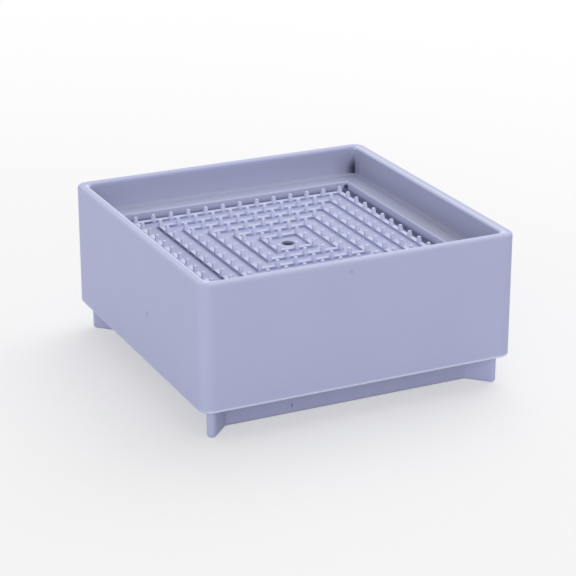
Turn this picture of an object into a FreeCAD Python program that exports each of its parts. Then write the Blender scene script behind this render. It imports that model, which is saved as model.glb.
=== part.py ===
"""Bed riser: one square plastic moulding, about 100 mm wide.

A walled recess on top takes the leg of a bed and grips it with a sunken field of
concentric square ribs and studs inside a moat. The moulding is hollow from below: a
plinth ring, a cross of braces and four diagonal corner fins hang from the deck, and the
plinth and the fins reach below the outer skirt as feet.

Frame: +Z up, origin in the middle of the footprint on the ground, millimetres.
"""

import FreeCAD
import Part
import Sketcher
import os

RING_COUNT = 6
SIDES = 4
TOLERANCE = 1e-4

SIZES = [
    ("width", 100.0, "outside of the skirt, both ways"),
    ("skirt_height", 38.5, "skirt, from its lower edge to the rim"),
    ("foot_height", 9.0, "ground to the skirt's lower edge"),
    ("wall", 3.2, "thickness of the skirt"),
    ("corner_round", 4.0, "upright outer corners"),
    ("inner_round", 2.4, "upright corners inside the skirt"),
    ("rim_round", 0.9, "both edges of the rim"),
    ("edge_round", 0.7, "outer lower edge of the skirt"),
    ("recess_depth", 9.5, "rim to the recess floor"),
    ("floor_round", 1.2, "foot of the recess walls"),
    ("border", 6.1, "plain strip between the recess wall and the grip field"),
    ("field_depth", 1.9, "recess floor to the floor of the grip field"),
    ("moat_depth", 2.0, "floor of the grip field to the floor of the moat around it"),
    ("field_round", 0.5, "edge and corners of the grip field"),
    ("field_margin", 5.3, "edge of the field to the middle of the outer ring"),
    ("rib_width", 1.5, "ring rib, across"),
    ("rib_height", 0.7, "ring rib above the field's floor"),
    ("stud_base", 1.4, "stud at the field's floor, across"),
    ("stud_tip", 0.85, "stud at its tip, across"),
    ("stud_height", 2.4, "stud above the field's floor"),
    ("hole", 4.0, "diameter of the middle hole"),
    ("deck", 2.4, "plate under the moat"),
    ("plinth_inset", 9.0, "outside of the skirt to the outside of the plinth"),
    ("plinth_wall", 3.2, "thickness of the plinth ring"),
    ("fin_thickness", 2.8, "diagonal corner fin, across"),
    ("fin_overlap", 0.4, "depth to which a fin's round end sinks into the skirt's corner"),
    ("foot_round", 0.9, "bottom edges of the plinth and the fins"),
    ("brace", 2.4, "thickness of the cross braces"),
    ("brace_lift", 2.0, "ground to the lower edge of the braces"),
    ("boss", 10.0, "diameter of the boss around the middle hole"),
]

doc = FreeCAD.newDocument("BedRiser")
sheet = doc.addObject("Spreadsheet::Sheet", "Sizes")
for row, (alias, value, meaning) in enumerate(SIZES, start=1):
    sheet.set(f"A{row}", meaning)
    sheet.set(f"B{row}", str(value))
    sheet.setAlias(f"B{row}", alias)
doc.recompute()

# Levels and half widths, as formulas on the sheet
HALF = "(Sizes.width / 2)"
INSIDE = f"({HALF} - Sizes.wall)"
FIELD_HALF = f"({INSIDE} - Sizes.border)"
PLINTH_HALF = f"({HALF} - Sizes.plinth_inset)"
PLINTH_INSIDE = f"({PLINTH_HALF} - Sizes.plinth_wall)"
RING_PITCH = f"(({FIELD_HALF} - Sizes.field_margin) / {RING_COUNT})"
RIM = "(Sizes.foot_height + Sizes.skirt_height)"
FLOOR = f"({RIM} - Sizes.recess_depth)"
FIELD_FLOOR = f"({FLOOR} - Sizes.field_depth)"
MOAT_FLOOR = f"({FIELD_FLOOR} - Sizes.moat_depth)"
DECK_UNDERSIDE = f"({MOAT_FLOOR} - Sizes.deck)"
# Middle of a fin's round end, on both axes: its tip sinks into the skirt's rounded inner corner
FIN_END = (
    f"({INSIDE} - Sizes.inner_round"
    " + (Sizes.inner_round + Sizes.fin_overlap - Sizes.fin_thickness / 2) / sqrt(2))"
)

body = doc.addObject("PartDesign::Body", "Riser")
body.Label = "riser"


def size(formula):
    """Value of a sheet formula in millimetres."""
    return float(sheet.evalExpression(formula.replace("Sizes.", "")))


def origin_part(role):
    """Plane or axis of the body's own origin."""
    return next(part for part in body.Origin.OriginFeatures if part.Role == role)


def bind(feature, **formulas):
    """Tie properties to the sheet, then rebuild; two underscores stand for a dot."""
    for name, formula in formulas.items():
        feature.setExpression(name.replace("__", "."), formula)
    doc.recompute()
    body.Tip = feature
    return feature


def square_block(kind, name, half, low, high):
    """Square block about the upright axis, added to or taken from the body."""
    feature = body.newObject(f"PartDesign::{kind}Box", name)
    return bind(
        feature,
        Length=f"2 * {half}",
        Width=f"2 * {half}",
        Height=f"{high} - {low}",
        Placement__Base__x=f"-{half}",
        Placement__Base__y=f"-{half}",
        Placement__Base__z=low,
    )


def upright_cylinder(kind, name, diameter, low, high):
    """Cylinder on the upright axis, added to or taken from the body."""
    feature = body.newObject(f"PartDesign::{kind}Cylinder", name)
    return bind(
        feature,
        Radius=f"{diameter} / 2",
        Height=f"{high} - {low}",
        Placement__Base__z=low,
    )


def round_edges(name, radius, wanted):
    """Fillet on every edge of the body that the test picks."""
    base = body.Tip
    names = [f"Edge{i}" for i, edge in enumerate(base.Shape.Edges, start=1) if wanted(edge)]
    if not names:
        raise RuntimeError(f"{name}: no edge to round")
    fillet = body.newObject("PartDesign::Fillet", name)
    fillet.Base = (base, names)
    return bind(fillet, Radius=radius)


def reach(edge):
    """Farthest distance of an edge's middle from the upright planes through the origin."""
    middle = edge.valueAt((edge.FirstParameter + edge.LastParameter) / 2)
    return max(abs(middle.x), abs(middle.y))


def upright_at(half):
    """Test for the upright edges at the corners of a square."""
    def wanted(edge):
        box = edge.BoundBox
        upright = box.XLength < TOLERANCE and box.YLength < TOLERANCE
        at_x = abs(abs(box.XMin) - half) < TOLERANCE
        at_y = abs(abs(box.YMin) - half) < TOLERANCE
        return upright and at_x and at_y
    return wanted


def level_at(height, nearest, farthest):
    """Test for level edges at a height, with their middles between two reaches."""
    def wanted(edge):
        box = edge.BoundBox
        level = abs(box.ZMin - height) < TOLERANCE and abs(box.ZMax - height) < TOLERANCE
        return level and nearest < reach(edge) < farthest
    return wanted


def fin_outline():
    """Round-ended outline of one corner fin, along the diagonal of the footprint."""
    sketch = body.newObject("Sketcher::SketchObject", "FinOutline")
    sketch.AttachmentSupport = (origin_part("XY_Plane"), "")
    sketch.MapMode = "FlatFace"
    radius = size("Sizes.fin_thickness") / 2
    along = FreeCAD.Vector(1, 1, 0).normalize()
    across = FreeCAD.Vector(-1, 1, 0).normalize() * radius
    end = FreeCAD.Vector(size(FIN_END), size(FIN_END), 0)
    root = along * size(PLINTH_INSIDE) * 2 ** 0.5
    tip = Part.Arc(end - across, end + along * radius, end + across)
    near = sketch.addGeometry(Part.LineSegment(root - across, end - across), False)
    arc = sketch.addGeometry(tip, False)
    far = sketch.addGeometry(Part.LineSegment(end + across, root + across), False)
    back = sketch.addGeometry(Part.LineSegment(root + across, root - across), False)
    axis = sketch.addGeometry(Part.LineSegment(FreeCAD.Vector(), end), True)
    sketch.addConstraint([
        Sketcher.Constraint("Tangent", near, 2, arc, 1),
        Sketcher.Constraint("Tangent", arc, 2, far, 1),
        Sketcher.Constraint("Coincident", far, 2, back, 1),
        Sketcher.Constraint("Coincident", back, 2, near, 1),
        Sketcher.Constraint("Coincident", axis, 1, -1, 1),
        Sketcher.Constraint("Coincident", axis, 2, arc, 3),
        Sketcher.Constraint("Parallel", near, axis),
        Sketcher.Constraint("Parallel", far, axis),
        Sketcher.Constraint("Perpendicular", back, axis),
    ])
    driven = {
        "end_x": (Sketcher.Constraint("DistanceX", -1, 1, arc, 3, end.x), FIN_END),
        "end_y": (Sketcher.Constraint("DistanceY", -1, 1, arc, 3, end.y), FIN_END),
        "radius": (Sketcher.Constraint("Radius", arc, radius), "Sizes.fin_thickness / 2"),
        "root": (
            Sketcher.Constraint("Distance", -1, 1, back, root.Length),
            f"{PLINTH_INSIDE} * sqrt(2)",
        ),
    }
    for name, (constraint, formula) in driven.items():
        index = sketch.addConstraint(constraint)
        sketch.renameConstraint(index, name)
        sketch.setExpression(f"Constraints.{name}", formula)
    doc.recompute()
    return sketch


# Skirt, recess and grip field
square_block("Additive", "Block", HALF, "Sizes.foot_height", RIM)
round_edges("BlockCorners", "Sizes.corner_round", upright_at(size(HALF)))
square_block("Subtractive", "Recess", INSIDE, FLOOR, RIM)
square_block("Subtractive", "Underside", INSIDE, "Sizes.foot_height", DECK_UNDERSIDE)
round_edges("InnerCorners", "Sizes.inner_round", upright_at(size(INSIDE)))
round_edges(
    "FloorEdges", "Sizes.floor_round", level_at(size(FLOOR), 0, size(HALF))
)
square_block("Subtractive", "Field", FIELD_HALF, MOAT_FLOOR, FLOOR)
round_edges("FieldCorners", "Sizes.field_round", upright_at(size(FIELD_HALF)))
round_edges(
    "FieldEdge",
    "Sizes.field_round",
    level_at(size(FLOOR), 0, size(FIELD_HALF) + TOLERANCE),
)
round_edges("RimEdges", "Sizes.rim_round", level_at(size(RIM), 0, size(HALF) + TOLERANCE))
round_edges(
    "SkirtEdge",
    "Sizes.edge_round",
    level_at(size("Sizes.foot_height"), size(INSIDE) + TOLERANCE, size(HALF) + TOLERANCE),
)

# Plinth ring and corner fins, down to the ground
square_block("Additive", "Plinth", PLINTH_HALF, "0", DECK_UNDERSIDE)
fin = body.newObject("PartDesign::Pad", "Fin")
fin.Profile = fin_outline()
bind(fin, Length=DECK_UNDERSIDE)
fins = body.newObject("PartDesign::PolarPattern", "Fins")
fins.Originals = [fin]
fins.Axis = (origin_part("Z_Axis"), [""])
fins.Angle = 360
fins.Occurrences = SIDES
bind(fins)
round_edges("FootEdges", "Sizes.foot_round", level_at(0, 0, size(HALF)))
square_block("Subtractive", "PlinthHollow", PLINTH_INSIDE, "0", DECK_UNDERSIDE)

# Cross braces and boss inside the plinth
for name, length, thickness in (
    ("BraceAlongX", f"2 * {PLINTH_HALF} - Sizes.plinth_wall", "Sizes.brace"),
    ("BraceAlongY", "Sizes.brace", f"2 * {PLINTH_HALF} - Sizes.plinth_wall"),
):
    bind(
        body.newObject("PartDesign::AdditiveBox", name),
        Length=length,
        Width=thickness,
        Height=f"{DECK_UNDERSIDE} - Sizes.brace_lift",
        Placement__Base__x=f"-({length}) / 2",
        Placement__Base__y=f"-({thickness}) / 2",
        Placement__Base__z="Sizes.brace_lift",
    )
upright_cylinder("Additive", "Boss", "Sizes.boss", "Sizes.brace_lift", DECK_UNDERSIDE)

# Concentric ring ribs, from the outermost inwards; the outermost rises from the moat's floor
rib_top = f"({FIELD_FLOOR} + Sizes.rib_height)"
for ring in range(RING_COUNT, 0, -1):
    middle = f"{ring} * {RING_PITCH}"
    foot = MOAT_FLOOR if ring == RING_COUNT else FIELD_FLOOR
    outer = f"({middle} + Sizes.rib_width / 2)"
    inner = f"({middle} - Sizes.rib_width / 2)"
    square_block("Additive", f"Ring{ring}", outer, foot, rib_top)
    square_block("Subtractive", f"Ring{ring}Inside", inner, FIELD_FLOOR, rib_top)

# Tapered studs, one at every crossing of the square grid that the rings lie on
stud = body.newObject("PartDesign::AdditiveWedge", "Stud")
stud.Placement = FreeCAD.Placement(
    FreeCAD.Vector(), FreeCAD.Rotation(FreeCAD.Vector(1, 0, 0), 90)
)
bind(
    stud,
    Xmin="-Sizes.stud_base / 2",
    Xmax="Sizes.stud_base / 2",
    Zmin="-Sizes.stud_base / 2",
    Zmax="Sizes.stud_base / 2",
    X2min="-Sizes.stud_tip / 2",
    X2max="Sizes.stud_tip / 2",
    Z2min="-Sizes.stud_tip / 2",
    Z2max="Sizes.stud_tip / 2",
    Ymin="0",
    Ymax="Sizes.stud_height",
    Placement__Base__x=f"-{RING_COUNT} * {RING_PITCH}",
    Placement__Base__y=f"-{RING_COUNT} * {RING_PITCH}",
    Placement__Base__z=FIELD_FLOOR,
)
studs = body.newObject("PartDesign::LinearPattern", "Studs")
studs.Originals = [stud]
studs.Direction = (origin_part("X_Axis"), [""])
studs.Direction2 = (origin_part("Y_Axis"), [""])
studs.Occurrences = 2 * RING_COUNT + 1
studs.Occurrences2 = 2 * RING_COUNT + 1
bind(
    studs,
    Length=f"{2 * RING_COUNT} * {RING_PITCH}",
    Length2=f"{2 * RING_COUNT} * {RING_PITCH}",
)

# Hole through the deck and the boss
upright_cylinder("Subtractive", "Hole", "Sizes.hole", "0", RIM)

for thing in doc.Objects:
    if "Invalid" in thing.State or "Error" in thing.State:
        raise RuntimeError(f"{thing.Label} failed: {thing.State}")
shape = body.Shape
if shape.isNull() or not shape.isValid() or len(shape.Solids) != 1:
    raise RuntimeError("the riser is not one valid solid")

os.makedirs("parts", exist_ok=True)
shape.exportStep(f"parts/{body.Label}.step")
print(f"riser: {shape.Volume / 1000:.1f} cm3, {len(shape.Faces)} faces, box {shape.BoundBox}")
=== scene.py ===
"""Look of the bed riser: lavender grey moulded plastic on a pale studio floor.

The riser's solid keeps its own shape. This file gives it its finish, its marks of use and its
painted highlights and shade, and sets up the floor, lamps and camera around it. Lengths in the
finish are millimetres, as on the part's drawing; everything placed in the scene is in metres.
"""

import logging
from dataclasses import dataclass, field
from enum import Enum
from typing import Union

import bpy
from mathutils import Euler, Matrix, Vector

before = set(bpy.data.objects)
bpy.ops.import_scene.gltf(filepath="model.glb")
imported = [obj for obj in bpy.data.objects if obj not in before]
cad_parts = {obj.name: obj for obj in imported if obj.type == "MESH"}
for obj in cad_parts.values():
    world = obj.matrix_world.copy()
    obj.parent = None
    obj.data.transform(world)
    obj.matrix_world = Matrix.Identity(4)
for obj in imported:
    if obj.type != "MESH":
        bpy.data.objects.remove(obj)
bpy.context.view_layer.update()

log = logging.getLogger("bed_riser")

Socket = bpy.types.NodeSocket
Colour = tuple[float, float, float]
Point = tuple[float, float, float]
Feed = Union[float, Socket]

MM = 0.001
WHITE = (1.0, 1.0, 1.0, 1.0)


class Sum(Enum):
    """Arithmetic that the finish uses, by the shader node's own names."""

    ADD = "ADD"
    SUBTRACT = "SUBTRACT"
    MULTIPLY = "MULTIPLY"
    GREATER = "MAXIMUM"
    SIZE = "ABSOLUTE"
    ABOVE = "GREATER_THAN"
    BACK_AND_FORTH = "PINGPONG"


@dataclass(frozen=True)
class Fade:
    """Smooth step of a mask: where it starts and ends along a measure, and its value at each."""

    start: float
    end: float
    low: float = 0.0
    high: float = 1.0


@dataclass(frozen=True)
class Band:
    """Soft band around one value: its middle, how far it fades out, and the share that is full."""

    middle: float
    width: float
    core: float = 0.3


@dataclass(frozen=True)
class Noise:
    """Cloudy pattern: its scale per millimetre and its detail."""

    scale: float
    detail: float


CLOUDS = Noise(0.055, 3.0)
GRAIN = Noise(1.3, 2.0)


class Graph:
    """Short hand for building a shader tree, in a material or in a node group."""

    def __init__(self, tree: bpy.types.NodeTree) -> None:
        """Keep the tree that the nodes go into.

        Args:
            tree: the material's or the group's node tree.
        """
        self.tree = tree

    def node(self, kind: str, **settings: object) -> bpy.types.Node:
        """Add a node and set its properties.

        Args:
            kind: the node's type, without the ShaderNode prefix.
            settings: properties of the node by name.

        Returns:
            The new node.
        """
        made = self.tree.nodes.new("ShaderNode" + kind)
        for name, value in settings.items():
            setattr(made, name, value)
        return made

    def feed(self, socket: Socket, value: object) -> None:
        """Link a socket to another, or give it a plain value.

        Args:
            socket: the input to fill.
            value: an output socket, or a number, vector or colour.
        """
        if isinstance(value, Socket):
            self.tree.links.new(value, socket)
        else:
            socket.default_value = value

    def sum(self, kind: Sum, first: Feed, second: Feed = 0.0) -> Socket:
        """One step of arithmetic.

        Args:
            kind: what is done with the two values.
            first: the first value.
            second: the second value, unused by Sum.SIZE.

        Returns:
            The result's socket.
        """
        made = self.node("Math", operation=kind.value)
        self.feed(made.inputs[0], first)
        self.feed(made.inputs[1], second)
        return made.outputs[0]

    def vector(self, operation: str, first: object, second: object = None) -> bpy.types.Node:
        """One step of arithmetic on vectors.

        Args:
            operation: the node's own name for it.
            first: the first vector or its socket.
            second: the second one, where the step has two.

        Returns:
            The node, with its result in Vector or Value.
        """
        made = self.node("VectorMath", operation=operation)
        self.feed(made.inputs[0], first)
        if second is not None:
            self.feed(made.inputs[1], second)
        return made

    def product(self, *values: Feed) -> Socket:
        """Multiply masks together.

        Args:
            values: two or more masks or numbers.

        Returns:
            The result's socket.
        """
        result = values[0]
        for value in values[1:]:
            result = self.sum(Sum.MULTIPLY, result, value)
        return result

    def strongest(self, *masks: Socket) -> Socket:
        """Lay masks over each other.

        Args:
            masks: two or more masks.

        Returns:
            The greatest of them at each point.
        """
        result = masks[0]
        for mask in masks[1:]:
            result = self.sum(Sum.GREATER, result, mask)
        return result

    def ramp(
        self, value: Feed, start: Feed, end: Feed, low: float = 0.0, high: float = 1.0
    ) -> Socket:
        """Smooth step from one value to another.

        Args:
            value: what is measured.
            start: where the step begins.
            end: where the step ends.
            low: result at the start and before it.
            high: result at the end and after it.

        Returns:
            The result's socket.
        """
        made = self.node("MapRange", interpolation_type="SMOOTHSTEP")
        for name, given in (("Value", value), ("From Min", start), ("From Max", end)):
            self.feed(made.inputs[name], given)
        made.inputs["To Min"].default_value = low
        made.inputs["To Max"].default_value = high
        return made.outputs["Result"]

    def fade(self, value: Feed, step: Fade, level: float = 0.0) -> Socket:
        """Smooth step that is measured from a level of the part.

        Args:
            value: what is measured.
            step: the step, as distances from the level.
            level: the level.

        Returns:
            The result's socket.
        """
        return self.ramp(value, level + step.start, level + step.end, step.low, step.high)

    def band(self, value: Feed, strip: Band, level: float) -> Socket:
        """Soft band that is measured from a level of the part.

        Args:
            value: what is measured.
            strip: the band, with its middle as a distance from the level.
            level: the level.

        Returns:
            A mask from 0 to 1.
        """
        away = self.sum(Sum.SIZE, self.sum(Sum.SUBTRACT, value, level + strip.middle))
        return self.ramp(away, strip.width, strip.width * strip.core)

    def noise(self, place: Socket, pattern: Noise) -> Socket:
        """Cloudy pattern over a place.

        Args:
            place: the point's place.
            pattern: its scale and detail.

        Returns:
            A value about 0.5.
        """
        made = self.node("TexNoise")
        self.feed(made.inputs["Vector"], place)
        made.inputs["Scale"].default_value = pattern.scale
        made.inputs["Detail"].default_value = pattern.detail
        return made.outputs["Fac"]

    def tint(self, share: Feed, under: object, over: object) -> Socket:
        """Lay one colour over another.

        Args:
            share: how much of the upper colour shows, 0 to 1.
            under: the lower colour or its socket.
            over: the upper colour or its socket.

        Returns:
            The mixed colour's socket.
        """
        made = self.node("Mix", data_type="RGBA")
        self.feed(made.inputs["Factor"], share)
        for name, value in (("A", under), ("B", over)):
            socket = next(s for s in made.inputs if s.name == name and s.type == "RGBA")
            self.feed(socket, (*value, 1.0) if isinstance(value, tuple) else value)
        return next(s for s in made.outputs if s.type == "RGBA")

    def seen(self) -> Socket:
        """Tell the rays that show the surroundings from the light that falls on the riser.

        Returns:
            1 for a ray from the camera, straight, mirrored or through something clear, else 0.
        """
        path = self.node("LightPath")
        kinds = ("Is Camera Ray", "Is Glossy Ray", "Is Transmission Ray")
        return self.strongest(*(path.outputs[kind] for kind in kinds))


def spot_group() -> bpy.types.NodeTree:
    """Soft spot around a point, round or drawn out, as a shared group.

    Returns:
        A group with Place, Centre, Reach and Core in, and Mask out.
    """
    tree = bpy.data.node_groups.new("soft_spot", "ShaderNodeTree")
    for name in ("Place", "Centre", "Reach"):
        tree.interface.new_socket(name, in_out="INPUT", socket_type="NodeSocketVector")
    tree.interface.new_socket("Core", in_out="INPUT", socket_type="NodeSocketFloat")
    tree.interface.new_socket("Mask", in_out="OUTPUT", socket_type="NodeSocketFloat")
    graph = Graph(tree)
    entry = tree.nodes.new("NodeGroupInput")
    offset = graph.vector("SUBTRACT", entry.outputs["Place"], entry.outputs["Centre"])
    share = graph.vector("DIVIDE", offset.outputs["Vector"], entry.outputs["Reach"])
    away = graph.vector("LENGTH", share.outputs["Vector"])
    mask = graph.ramp(away.outputs["Value"], 1.0, entry.outputs["Core"])
    graph.feed(tree.nodes.new("NodeGroupOutput").inputs["Mask"], mask)
    return tree


def clouds_group() -> bpy.types.NodeTree:
    """Faint clouding of a moulded surface, as a shared group.

    Returns:
        A group with Place in millimetres, and Clouds and Grain out, both about 0.5.
    """
    tree = bpy.data.node_groups.new("mould_clouds", "ShaderNodeTree")
    tree.interface.new_socket("Place", in_out="INPUT", socket_type="NodeSocketVector")
    tree.interface.new_socket("Clouds", in_out="OUTPUT", socket_type="NodeSocketFloat")
    tree.interface.new_socket("Grain", in_out="OUTPUT", socket_type="NodeSocketFloat")
    graph = Graph(tree)
    entry = tree.nodes.new("NodeGroupInput")
    leave = tree.nodes.new("NodeGroupOutput")
    for name, pattern in (("Clouds", CLOUDS), ("Grain", GRAIN)):
        graph.feed(leave.inputs[name], graph.noise(entry.outputs["Place"], pattern))
    return tree


@dataclass(frozen=True)
class Sizes:
    """Heights, half widths and pitch of the part that its marks follow, in millimetres."""

    rim: float = 47.5
    floor: float = 38.0
    stud_top: float = 38.5
    rib_top: float = 36.8
    field_floor: float = 36.1
    skirt_foot: float = 9.0
    outside: float = 50.0
    inside: float = 46.8
    field_half: float = 40.7
    pad_half: float = 36.2
    pitch: float = 5.9
    hole_radius: float = 2.0


@dataclass
class Surface:
    """Where a point of the riser lies, as sockets in millimetres, with masks that marks share."""

    graph: Graph
    sizes: Sizes
    place: Socket
    x: Socket
    y: Socket
    height: Socket
    reach: Socket
    pad_edge: Fade = Fade(0.5, 0.0)
    recess_edge: Fade = Fade(0.6, 0.1)
    floor_edge: Fade = Fade(-0.6, -0.2)

    @classmethod
    def of(cls, graph: Graph, sizes: Sizes) -> "Surface":
        """Read the object's own coordinates.

        Args:
            graph: the material's graph.
            sizes: the part's sizes.

        Returns:
            The point's place, its parts, and its reach from the upright middle planes.
        """
        scaled = graph.vector("SCALE", graph.node("TexCoord").outputs["Object"])
        scaled.inputs["Scale"].default_value = 1.0 / MM
        place = scaled.outputs["Vector"]
        split = graph.node("SeparateXYZ")
        graph.feed(split.inputs[0], place)
        x, y, height = split.outputs
        reach = graph.strongest(graph.sum(Sum.SIZE, x), graph.sum(Sum.SIZE, y))
        return cls(graph, sizes, place, x, y, height, reach)

    def on_pad(self) -> Socket:
        """Mask of the pad with the ribs and studs, inside the moat."""
        return self.graph.fade(self.reach, self.pad_edge, self.sizes.pad_half)

    def in_recess(self) -> Socket:
        """Mask of what lies within the recess walls, their faces included."""
        return self.graph.fade(self.reach, self.recess_edge, self.sizes.inside)

    def above_floor(self) -> Socket:
        """Mask of the recess floor's plain border and all that is higher."""
        return self.graph.fade(self.height, self.floor_edge, self.sizes.floor)

    def down_wall(self, step: Fade) -> Socket:
        """Fade down the recess wall.

        Args:
            step: its start as a distance from the rim, and its end as one from the floor.

        Returns:
            A mask over the height.
        """
        top, foot = self.sizes.rim + step.start, self.sizes.floor + step.end
        return self.graph.ramp(self.height, top, foot, step.low, step.high)

    def stud_lines(self, axis: Socket, width: Fade) -> Socket:
        """Lines of the stud grid across one axis.

        Args:
            axis: x or y.
            width: distances from a line at which the mask ends and at which it is full.

        Returns:
            A mask that is 1 on the lines and 0 between them.
        """
        away = self.graph.sum(Sum.BACK_AND_FORTH, axis, self.sizes.pitch / 2)
        return self.graph.fade(away, width)


@dataclass(frozen=True)
class RecessShade:
    """Painted shade, dull and greyer, in level streaks on the recess walls and its plain border.
    """

    beyond_field: Fade = Fade(0.0, 0.6)
    below_rim: Fade = Fade(-0.6, -1.6)
    draw_out: Point = (0.04, 0.04, 1.10)
    streaks: Noise = Noise(1.0, 3.0)
    film: Fade = Fade(0.30, 0.70, 0.31, 0.53)

    def mask(self, on: Surface) -> Socket:
        """Where the painted shade lies.

        Args:
            on: the riser's surface.

        Returns:
            A mask from 0 to 1.
        """
        graph = on.graph
        drawn_out = graph.vector("MULTIPLY", on.place, self.draw_out)
        return graph.product(
            on.in_recess(),
            graph.fade(on.reach, self.beyond_field, on.sizes.field_half),
            graph.fade(on.height, self.below_rim, on.sizes.rim),
            on.above_floor(),
            graph.fade(graph.noise(drawn_out.outputs["Vector"], self.streaks), self.film),
        )


@dataclass(frozen=True)
class PaintedHighlights:
    """Painted highlights on ribs, lip, skirt foot and rim, and low on the recess's back wall."""

    rib_foot: float = 0.5
    rib_reach: Fade = Fade(-6.0, -2.0, 0.40, 0.75)
    streak_line: Fade = Fade(0.75, 0.35)
    streak_side: Fade = Fade(-0.4, 0.1)
    streak_height: Fade = Fade(0.0, 0.15)
    lip: Band = Band(-0.1, 0.6)
    lip_height: Fade = Fade(-3.0, -1.0, high=0.80)
    foot: Band = Band(0.4, 0.7)
    foot_reach: Fade = Fade(0.5, 1.0)
    foot_front: Fade = Fade(1.0, 0.5, low=0.35)
    rim_reach: Fade = Fade(0.5, 1.5, 0.90, 0.10)
    rim_height: Fade = Fade(-1.0, -0.4)
    rim_back: Fade = Fade(0.0, -1.0)
    lit_back: Fade = Fade(0.5, 1.5)
    lit_wall: Fade = Fade(-3.0, 1.0, high=0.20)

    def mask(self, on: Surface) -> Socket:
        """Where the highlights are painted.

        Args:
            on: the riser's surface.

        Returns:
            A mask from 0 to 1.
        """
        graph, sizes = on.graph, on.sizes
        lip = graph.product(
            graph.band(on.reach, self.lip, sizes.field_half),
            graph.fade(on.height, self.lip_height, sizes.floor),
        )
        foot = graph.product(
            graph.band(on.height, self.foot, sizes.skirt_foot),
            graph.fade(on.reach, self.foot_reach, sizes.inside),
            graph.fade(on.y, self.foot_front, -sizes.outside),
        )
        rim = graph.product(
            graph.fade(on.reach, self.rim_reach, sizes.inside),
            graph.fade(on.height, self.rim_height, sizes.rim),
            graph.fade(on.y, self.rim_back, sizes.inside),
        )
        # painted light low on the recess's back wall
        lit_back_wall = graph.product(
            graph.fade(on.y, self.lit_back, sizes.field_half),
            on.in_recess(),
            on.above_floor(),
            on.down_wall(self.lit_wall),
        )
        return graph.strongest(self._ribs(on), self._streaks(on), lip, foot, rim, lit_back_wall)

    def _ribs(self, on: Surface) -> Socket:
        """Painted highlight on the rib tops, palest on the outer ring.

        Args:
            on: the riser's surface.

        Returns:
            A mask from 0 to 1.
        """
        graph, sizes = on.graph, on.sizes
        return graph.product(
            on.on_pad(),
            graph.ramp(on.height, sizes.field_floor + self.rib_foot, sizes.rib_top),
            graph.fade(on.reach, self.rib_reach, sizes.pad_half),
        )

    def _streaks(self, on: Surface) -> Socket:
        """Painted light in lines down the flanks of the near and far ribs, under each stud.

        Args:
            on: the riser's surface.

        Returns:
            A mask from 0 to 1.
        """
        graph = on.graph
        aside = graph.sum(Sum.SUBTRACT, graph.sum(Sum.SIZE, on.y), graph.sum(Sum.SIZE, on.x))
        return graph.product(
            on.on_pad(),
            on.stud_lines(on.x, self.streak_line),
            graph.fade(aside, self.streak_side),
            graph.fade(on.height, self.streak_height, on.sizes.field_floor),
        )


@dataclass(frozen=True)
class StudHighlights:
    """Painted light on the studs' free height, palest in the middle of their near and far sides.
    """

    root: Fade = Fade(0.0, 0.3)
    tip: Fade = Fade(0.0, -0.1, low=0.3)
    line: Fade = Fade(0.65, 0.40)

    def mask(self, on: Surface) -> Socket:
        """Where the painted light on the studs lies.

        Args:
            on: the riser's surface.

        Returns:
            A mask from 0 to 1.
        """
        graph, sizes = on.graph, on.sizes
        return graph.product(
            on.on_pad(),
            graph.fade(on.height, self.root, sizes.rib_top),
            graph.fade(on.height, self.tip, sizes.stud_top),
            on.stud_lines(on.x, self.line),
        )


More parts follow.
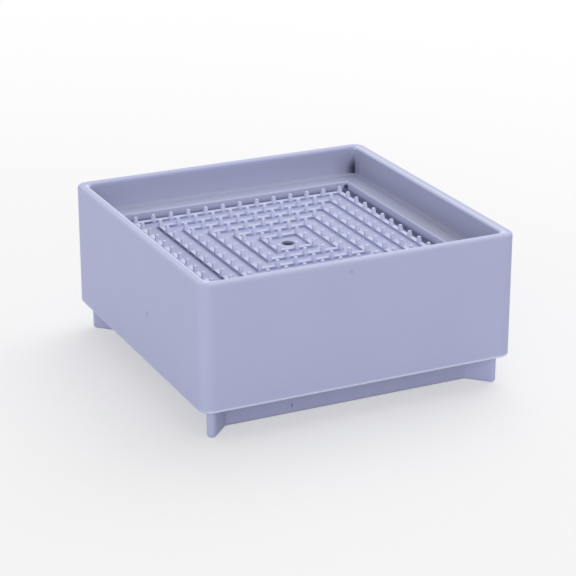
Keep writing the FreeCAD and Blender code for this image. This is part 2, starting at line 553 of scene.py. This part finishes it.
@dataclass(frozen=True)
class GripShade:
    """Painted shade at the rib feet, most on the left, in the moat and low on the right wall."""

    flank_foot: Fade = Fade(-0.05, 0.10)
    flank_top: Fade = Fade(-0.05, -0.30)
    flank_left: Fade = Fade(-24.5, -30.0, 0.24, 0.85)
    near_stud: Fade = Fade(1.1, 0.6)
    beside_shift: float = 1.0
    beside_rib: Fade = Fade(0.80, 0.25)
    beside_side: Fade = Fade(0.2, -0.4)
    beside_height: Fade = Fade(0.10, 0.02)
    beside_left: Fade = Fade(-24.5, -29.5, 0.38, 0.68)
    moat_inner: Fade = Fade(-0.3, 0.0)
    moat_outer: Fade = Fade(0.2, 0.0)
    moat_depth: Fade = Fade(0.0, -1.2, high=0.60)
    wall_right: Fade = Fade(-2.2, -0.4)
    wall_low: Fade = Fade(-2.0, 0.5, high=0.27)

    def mask(self, on: Surface) -> Socket:
        """Where the painted shade lies.

        Args:
            on: the riser's surface.

        Returns:
            A mask from 0 to 1.
        """
        graph, sizes = on.graph, on.sizes
        moat = graph.product(
            graph.fade(on.reach, self.moat_inner, sizes.pad_half),
            graph.fade(on.reach, self.moat_outer, sizes.field_half),
            graph.fade(on.height, self.moat_depth, sizes.field_floor),
        )
        right_wall = graph.product(
            graph.fade(on.x, self.wall_right, sizes.inside),
            on.in_recess(),
            on.down_wall(self.wall_low),
            on.above_floor(),
        )
        return graph.strongest(self._flanks(on), self._beside_ribs(on), moat, right_wall)

    def _flanks(self, on: Surface) -> Socket:
        """Painted shade on the flanks of the ribs, between the studs.

        Args:
            on: the riser's surface.

        Returns:
            A mask from 0 to 1.
        """
        graph, sizes = on.graph, on.sizes
        at_stud = graph.product(
            on.stud_lines(on.x, self.near_stud), on.stud_lines(on.y, self.near_stud)
        )
        return graph.product(
            on.on_pad(),
            graph.fade(on.height, self.flank_foot, sizes.field_floor),
            graph.fade(on.height, self.flank_top, sizes.rib_top),
            graph.sum(Sum.SUBTRACT, 1.0, at_stud),
            graph.fade(on.x, self.flank_left),
        )

    def _beside_ribs(self, on: Surface) -> Socket:
        """Painted shadow on strips of the field's floor along the left ribs.

        Args:
            on: the riser's surface.

        Returns:
            A mask from 0 to 1.
        """
        graph, sizes = on.graph, on.sizes
        shifted = graph.sum(Sum.SUBTRACT, on.reach, self.beside_shift)
        away = graph.sum(Sum.BACK_AND_FORTH, shifted, sizes.pitch / 2)
        aside = graph.sum(Sum.ADD, on.x, graph.sum(Sum.SIZE, on.y))
        return graph.product(
            on.on_pad(),
            graph.fade(aside, self.beside_side),
            graph.fade(away, self.beside_rib),
            graph.fade(on.height, self.beside_height, sizes.field_floor),
            graph.fade(on.x, self.beside_left),
        )


@dataclass(frozen=True)
class HoleShade:
    """Shade inside the middle hole, deeper down."""

    edge: Fade = Fade(0.10, 0.02)
    depth: Fade = Fade(-0.2, -1.2, high=0.78)

    def mask(self, on: Surface) -> Socket:
        """Where the shade lies.

        Args:
            on: the riser's surface.

        Returns:
            A mask from 0 to 1.
        """
        graph, sizes = on.graph, on.sizes
        across = graph.node("CombineXYZ")
        graph.feed(across.inputs["X"], on.x)
        graph.feed(across.inputs["Y"], on.y)
        radius = graph.vector("LENGTH", across.outputs["Vector"]).outputs["Value"]
        return graph.product(
            graph.fade(radius, self.edge, sizes.hole_radius),
            graph.fade(on.height, self.depth, sizes.field_floor),
        )


@dataclass(frozen=True)
class Spot:
    """One small dark mark: its middle and reach in millimetres, how dark, and its full share."""

    centre: Point
    reach: Point
    strength: float
    core: float = 0.2


@dataclass(frozen=True)
class SpecksAndCornerShade:
    """Dark inclusions and nicks, a few clear and a faint sparse scatter, plus one painted shade.
    """

    scatter_scale: float = 0.09
    scatter_dot: Fade = Fade(0.030, 0.012, high=0.30)
    scatter_left_out: float = 0.7
    spots: tuple[Spot, ...] = (
        Spot((-4.2, -50.0, 44.4), (1.25, 1.25, 1.25), 0.20, 0.0),
        Spot((-50.0, -9.7, 25.0), (1.00, 1.70, 1.10), 0.24, 0.0),
        Spot((26.5, 6.5, 36.1), (1.15, 0.55, 0.60), 0.75),
        # painted shade in the moat's far right corner, not a speck
        Spot((40.7, 40.7, 36.2), (1.50, 1.50, 1.25), 1.00, 0.4),
        Spot((-18.3, -41.0, 2.6), (0.35, 0.50, 1.30), 0.80),
    )

    def mask(self, on: Surface) -> Socket:
        """Where the specks and the painted corner shade are.

        Args:
            on: the riser's surface.

        Returns:
            A mask from 0 to 1.
        """
        graph = on.graph
        cells = graph.node("TexVoronoi", feature="F1")
        graph.feed(cells.inputs["Vector"], on.place)
        cells.inputs["Scale"].default_value = self.scatter_scale
        chance = graph.node("SeparateColor")
        graph.feed(chance.inputs[0], cells.outputs["Color"])
        scatter = graph.product(
            graph.fade(cells.outputs["Distance"], self.scatter_dot),
            graph.sum(Sum.ABOVE, chance.outputs[0], self.scatter_left_out),
        )
        shared = spot_group()
        marks = []
        for spot in self.spots:
            made = graph.node("Group", node_tree=shared)
            graph.feed(made.inputs["Place"], on.place)
            made.inputs["Centre"].default_value = spot.centre
            made.inputs["Reach"].default_value = spot.reach
            made.inputs["Core"].default_value = spot.core
            marks.append(graph.product(made.outputs["Mask"], spot.strength))
        return graph.strongest(scatter, *marks)


@dataclass(frozen=True)
class CornerShade:
    """Painted shade in the recess's far right corner, wider towards the floor, in a faint halo."""

    depth: Fade = Fade(-0.5, 2.0)
    reach: Fade = Fade(0.8, 0.4)
    right: Fade = Fade(-12.0, -11.0)
    back: Fade = Fade(-3.5, -2.5)
    foot: Fade = Fade(0.3, 0.6)
    wedge: float = 0.95
    wedge_spread: float = 4.8
    wedge_edge: float = 0.3
    wedge_right: Fade = Fade(1.1, 0.4)
    halo: float = 0.32
    halo_left: Fade = Fade(-9.0, -1.0)
    halo_right: Fade = Fade(6.0, 0.5)

    def mask(self, on: Surface) -> Socket:
        """Where the painted shade lies.

        Args:
            on: the riser's surface.

        Returns:
            A mask from 0 to 1.
        """
        graph, sizes = on.graph, on.sizes
        along = graph.sum(Sum.SUBTRACT, on.x, on.y)
        depth = on.down_wall(self.depth)
        in_corner = graph.product(
            graph.fade(on.reach, self.reach, sizes.inside),
            graph.fade(on.x, self.right, sizes.inside),
            graph.fade(on.y, self.back, sizes.inside),
            graph.fade(on.height, self.foot, sizes.floor),
        )
        spread = graph.sum(Sum.MULTIPLY, depth, -self.wedge_spread)
        start = graph.sum(Sum.SUBTRACT, spread, self.wedge_edge)
        wedge = graph.product(
            graph.ramp(along, start, -self.wedge_edge), graph.fade(along, self.wedge_right), self.wedge
        )
        halo = graph.product(
            graph.fade(along, self.halo_left), graph.fade(along, self.halo_right), self.halo
        )
        return graph.product(graph.strongest(wedge, halo), depth, in_corner)


@dataclass(frozen=True)
class MouldedPlastic:
    """Matt lavender grey plastic with its marks of use, painted highlights and painted shade."""

    body: Colour = (0.500, 0.528, 0.765)
    cloud: Colour = (0.530, 0.558, 0.790)
    # painted highlights on ribs, lip, skirt foot, rim and recess back wall
    pale: Colour = (0.760, 0.790, 0.975)
    # painted light on the studs
    lit_stud: Colour = (0.800, 0.830, 1.000)
    # painted shade in the recess, dull and greyer
    dull_shade: Colour = (0.480, 0.497, 0.560)
    # painted shade at the rib feet, in the moat and low on the right wall
    shade: Colour = (0.140, 0.148, 0.230)
    # dark specks, and the painted shade in the moat's far corner
    speck_and_shade: Colour = (0.100, 0.107, 0.190)
    # painted shade in the recess's far right corner and down the hole
    deep_shade: Colour = (0.022, 0.025, 0.052)
    roughness: Fade = Fade(0.2, 0.8, 0.44, 0.56)
    gloss: float = 0.22
    bump_strength: float = 0.12
    bump_depth: float = 0.05
    sizes: Sizes = Sizes()
    recess_shade: RecessShade = RecessShade()
    painted_highlights: PaintedHighlights = PaintedHighlights()
    grip_shade: GripShade = GripShade()
    stud_highlights: StudHighlights = StudHighlights()
    specks_and_corner_shade: SpecksAndCornerShade = SpecksAndCornerShade()
    corner_shade: CornerShade = CornerShade()
    hole_shade: HoleShade = HoleShade()

    def build(self) -> bpy.types.Material:
        """Make the material.

        Returns:
            The finished material, on Object coordinates.
        """
        material = bpy.data.materials.new("riser_plastic")
        material.use_nodes = True
        graph = Graph(material.node_tree)
        on = Surface.of(graph, self.sizes)
        clouds = graph.node("Group", node_tree=clouds_group())
        graph.feed(clouds.inputs["Place"], on.place)
        grain = clouds.outputs["Grain"]
        shader = material.node_tree.nodes["Principled BSDF"]
        colour = self._colour(on, clouds.outputs["Clouds"])
        graph.feed(shader.inputs["Base Color"], colour)
        graph.feed(shader.inputs["Roughness"], graph.fade(grain, self.roughness))
        shader.inputs["Specular IOR Level"].default_value = self.gloss
        bump = graph.node("Bump")
        bump.inputs["Strength"].default_value = self.bump_strength
        bump.inputs["Distance"].default_value = self.bump_depth * MM
        graph.feed(bump.inputs["Height"], grain)
        graph.feed(shader.inputs["Normal"], bump.outputs["Normal"])
        return material

    def _colour(self, on: Surface, clouds: Socket) -> Socket:
        """Clouded plastic with marks, painted highlights and painted shade laid over it in turn.

        Args:
            on: the riser's surface.
            clouds: the clouding, about 0.5.

        Returns:
            The colour's socket.
        """
        graph = on.graph
        # painted shade in the recess's far right corner and down the middle hole
        darkest = graph.strongest(self.corner_shade.mask(on), self.hole_shade.mask(on))
        colour = graph.tint(clouds, self.body, self.cloud)
        for share, over in (
            (self.recess_shade.mask(on), self.dull_shade),
            (self.painted_highlights.mask(on), self.pale),
            (self.grip_shade.mask(on), self.shade),
            (self.stud_highlights.mask(on), self.lit_stud),
            (self.specks_and_corner_shade.mask(on), self.speck_and_shade),
            (darkest, self.deep_shade),
        ):
            colour = graph.tint(share, colour, over)
        return colour


@dataclass
class Riser:
    """The moulding itself: one solid of the frame, dressed and left where it is."""

    node: str = "riser"
    finish: MouldedPlastic = field(default_factory=MouldedPlastic)

    def dress(self) -> bpy.types.Object:
        """Give the solid its finish.

        Returns:
            The dressed object.
        """
        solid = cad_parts[self.node]
        solid.data.materials.clear()
        solid.data.materials.append(self.finish.build())
        log.info("dressed %s, %d faces", self.node, len(solid.data.polygons))
        return solid


@dataclass(frozen=True)
class Lamp:
    """Flat soft lamp, aimed at the riser; metres and watts."""

    name: str
    place: Point
    width: float
    height: float
    power: float


@dataclass
class Studio:
    """Pale floor, soft lamps, even surroundings and the camera."""

    floor_size: float = 8.0
    floor_colour: Colour = (0.78, 0.78, 0.79)
    floor_seen: Colour = (0.97, 0.97, 0.97)
    floor_glow: Fade = Fade(0.12, 0.55, low=0.45)
    sky: Fade = Fade(0.0, 1.0, low=0.54)
    target: Point = (0.0, 0.0, 0.0215)
    eye: Point = (-0.2511, -0.5264, 0.2461)
    lens: float = 128.0
    sensor: float = 36.0
    lamps: tuple[Lamp, ...] = (
        Lamp("far_right", (0.58, 0.48, 0.95), 1.20, 1.20, 7.5),
        Lamp("near_front", (-0.55, -1.00, 0.45), 0.60, 0.60, 2.1),
        Lamp("low_left", (-1.10, -0.50, 0.03), 0.90, 0.05, 1.6),
    )

    def build(self) -> None:
        """Set up everything around the riser."""
        self._floor()
        self._surroundings()
        for lamp in self.lamps:
            self._lamp(lamp)
        self._camera()

    def _floor(self) -> None:
        """Lay the floor at the riser's ground level."""
        half = self.floor_size / 2
        mesh = bpy.data.meshes.new("floor")
        corners = [(-half, -half, 0.0), (half, -half, 0.0), (half, half, 0.0), (-half, half, 0.0)]
        mesh.from_pydata(corners, [], [(0, 1, 2, 3)])
        floor = bpy.data.objects.new("floor", mesh)
        bpy.context.scene.collection.objects.link(floor)
        mesh.materials.append(self._floor_finish())
        log.info("floor laid")

    def _floor_finish(self) -> bpy.types.Material:
        """Pale matt floor that shows as white, with the riser's shadow kept.

        Returns:
            The floor's material.
        """
        material = bpy.data.materials.new("pale_floor")
        material.use_nodes = True
        nodes = material.node_tree.nodes
        nodes.remove(nodes["Principled BSDF"])
        graph = Graph(material.node_tree)
        seen = graph.seen()
        matt = graph.node("BsdfDiffuse")
        graph.feed(matt.inputs["Color"], graph.tint(seen, self.floor_colour, self.floor_seen))
        glow = graph.node("Emission")
        glow.inputs["Color"].default_value = WHITE
        away = graph.vector("LENGTH", graph.node("TexCoord").outputs["Object"])
        share = graph.fade(away.outputs["Value"], self.floor_glow)
        both = graph.node("MixShader")
        graph.feed(both.inputs["Fac"], graph.product(seen, share))
        graph.feed(both.inputs[1], matt.outputs["BSDF"])
        graph.feed(both.inputs[2], glow.outputs["Emission"])
        graph.feed(nodes["Material Output"].inputs["Surface"], both.outputs["Shader"])
        return material

    def _surroundings(self) -> None:
        """Even light from all round, white where it is seen past the floor."""
        world = bpy.data.worlds.new("surroundings")
        world.use_nodes = True
        graph = Graph(world.node_tree)
        back = world.node_tree.nodes["Background"]
        back.inputs["Color"].default_value = WHITE
        graph.feed(back.inputs["Strength"], graph.fade(graph.seen(), self.sky))
        bpy.context.scene.world = world

    def _aim(self, place: Point) -> Euler:
        """Turn towards the riser.

        Args:
            place: where the lamp or the camera stands.

        Returns:
            Its rotation.
        """
        return (Vector(self.target) - Vector(place)).to_track_quat("-Z", "Y").to_euler()

    def _lamp(self, lamp: Lamp) -> None:
        """Hang one soft lamp.

        Args:
            lamp: where it hangs, how large and how strong it is.
        """
        light = bpy.data.lights.new(lamp.name, "AREA")
        light.shape = "RECTANGLE"
        light.size = lamp.width
        light.size_y = lamp.height
        light.energy = lamp.power
        hung = bpy.data.objects.new(lamp.name, light)
        hung.location = lamp.place
        hung.rotation_euler = self._aim(lamp.place)
        bpy.context.scene.collection.objects.link(hung)
        log.info("lamp %s", lamp.name)

    def _camera(self) -> None:
        """Stand the camera at the photograph's viewing angle, aimed at the riser."""
        data = bpy.data.cameras.new("camera")
        data.lens = self.lens
        data.sensor_width = self.sensor
        camera = bpy.data.objects.new("camera", data)
        camera.location = self.eye
        camera.rotation_euler = self._aim(self.eye)
        bpy.context.scene.collection.objects.link(camera)
        bpy.context.scene.camera = camera
        log.info("camera set")


def main() -> None:
    """Dress the riser and build the studio."""
    logging.basicConfig(level=logging.INFO, format="%(name)s: %(message)s")
    bpy.context.scene.view_settings.view_transform = "Standard"
    Riser().dress()
    Studio().build()


if __name__ == "__main__":
    main()
